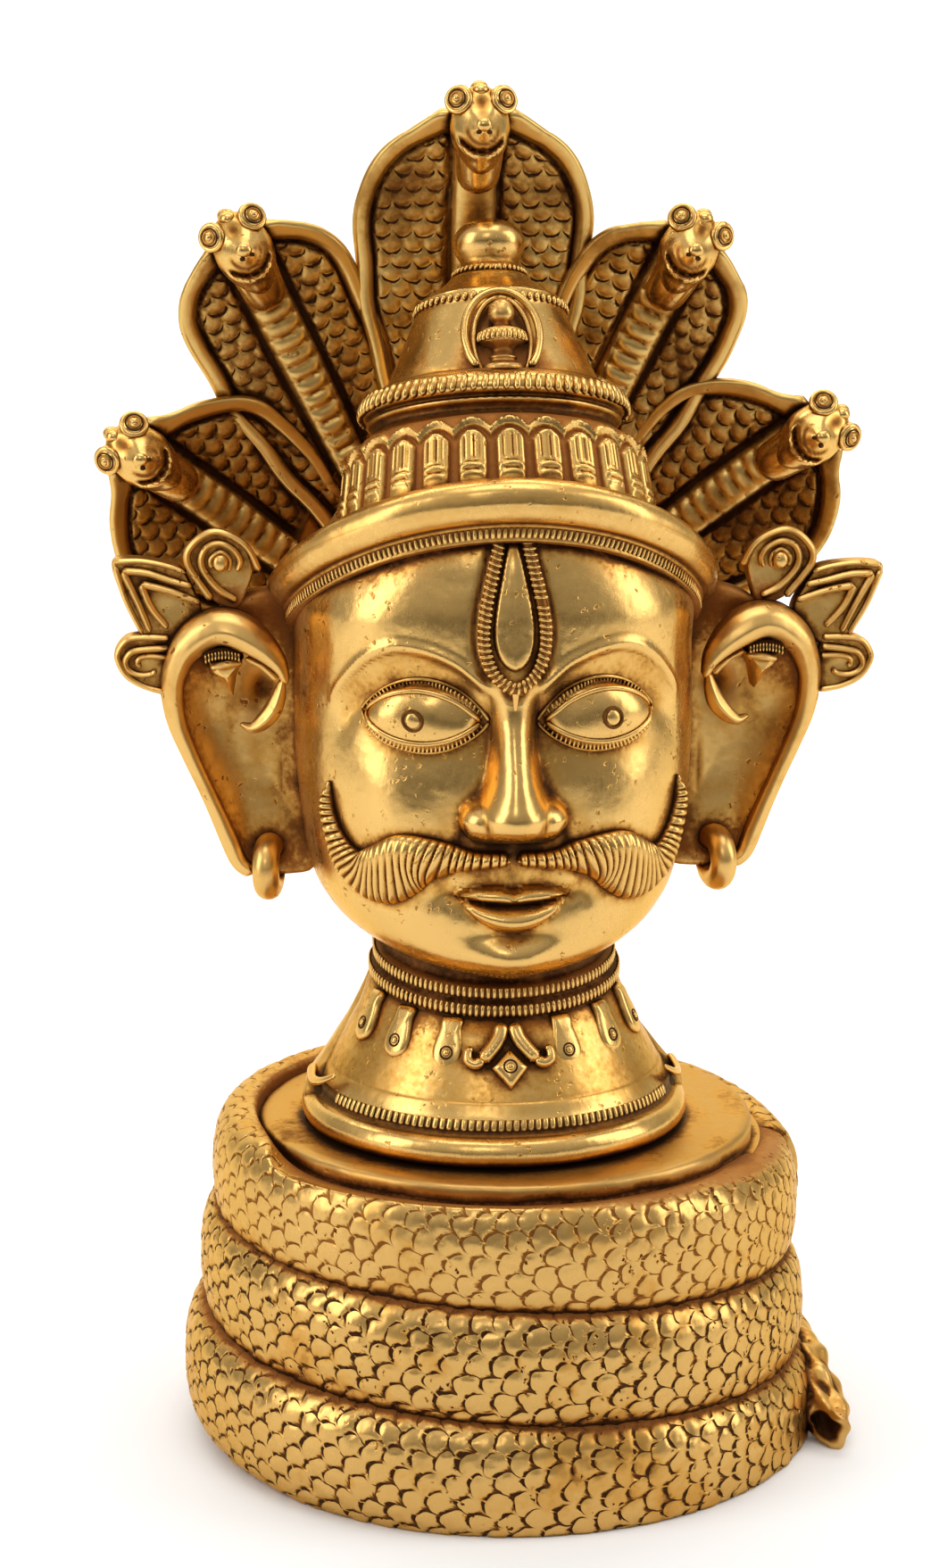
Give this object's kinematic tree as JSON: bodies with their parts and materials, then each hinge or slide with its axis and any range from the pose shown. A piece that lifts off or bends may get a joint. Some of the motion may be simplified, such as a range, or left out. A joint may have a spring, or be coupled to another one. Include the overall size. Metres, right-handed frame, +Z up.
{
  "type": "deity head with naga hood on a coiled serpent base",
  "caption": "Cast brass deity head with moustache, fluted crown and a fan of cobra hoods, standing on a round base made of a coiled, scaly serpent.",
  "frame": {"origin": "on the ground plane under the middle of the base's disc", "axes": "+Z up, the face looks along -Y, +X is the viewer's right"},
  "size_m": [0.1492, 0.1231, 0.2599],
  "materials": {
    "head_brass": "polished, with dark patina in the carving",
    "base_brass": "polished, with dark patina between the scales"
  },
  "bodies": {
    "root": {"deity_head_with_naga_hood": "head_brass", "coiled_naga_base": "base_brass"}
  },
  "joints": []
}
